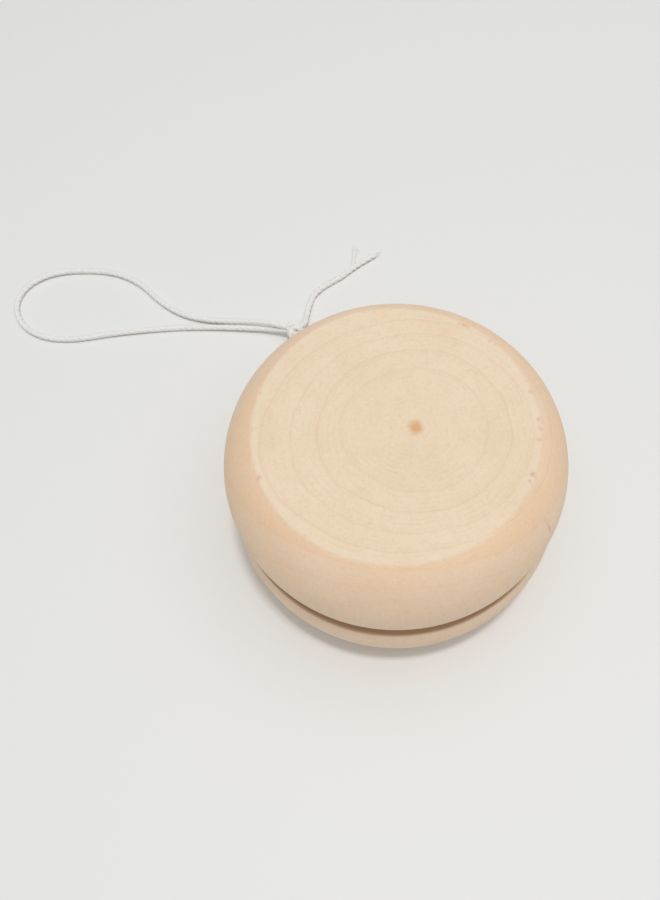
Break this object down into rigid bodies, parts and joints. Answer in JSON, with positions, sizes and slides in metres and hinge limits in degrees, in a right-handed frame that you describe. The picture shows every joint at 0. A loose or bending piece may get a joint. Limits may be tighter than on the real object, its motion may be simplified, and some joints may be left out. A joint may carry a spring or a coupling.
{
  "type": "yo yo",
  "caption": "Unfinished wooden yo-yo: two turned halves on a glued dowel, with a cotton string that winds in the gap and ends in a finger loop.",
  "frame": {"origin": "middle of the lower flat face, on the surface that the yo-yo lies on", "axes": "+Z along the dowel, from the lower half to the upper half; the free string lies towards -X and +Y"},
  "size_m": [0.0914, 0.0856, 0.0307],
  "materials": {
    "turned_wood": "raw, sanded, satin on the shoulder and rough on the end grain",
    "dowel_wood": "raw, sanded",
    "cotton_string": "matte twisted cotton"
  },
  "bodies": {
    "wood": {"upper_half": "turned_wood", "lower_half": "turned_wood", "axle_dowel": "dowel_wood"},
    "wound_string": {"axle_string_loop": "cotton_string", "string_winding": "cotton_string"},
    "lead": {"string_lead": "cotton_string"},
    "string_end": {"loop_knot": "cotton_string", "finger_loop": "cotton_string", "string_tail": "cotton_string"}
  },
  "joints": [
    {"name": "sleep_spin", "type": "hinge", "parent": "wood", "child": "wound_string", "pos_m": [0, 0, 0.01533], "axis": [0, 0, 1], "continuous": true},
    {"name": "unwind_turn", "type": "hinge", "parent": "wound_string", "child": "lead", "pos_m": [0, 0, 0.01533], "axis": [0, 0, 1], "range_deg": [0, 5400]},
    {"name": "payout", "type": "slide", "parent": "lead", "child": "string_end", "axis": [-0.28, 0.96, 0], "range_m": [0, 0.83], "deforming": ["string_lead"]}
  ],
  "couplings": [
    {"joint": "payout", "follows": "unwind_turn", "m_per_rad": 0.0088065}
  ]
}
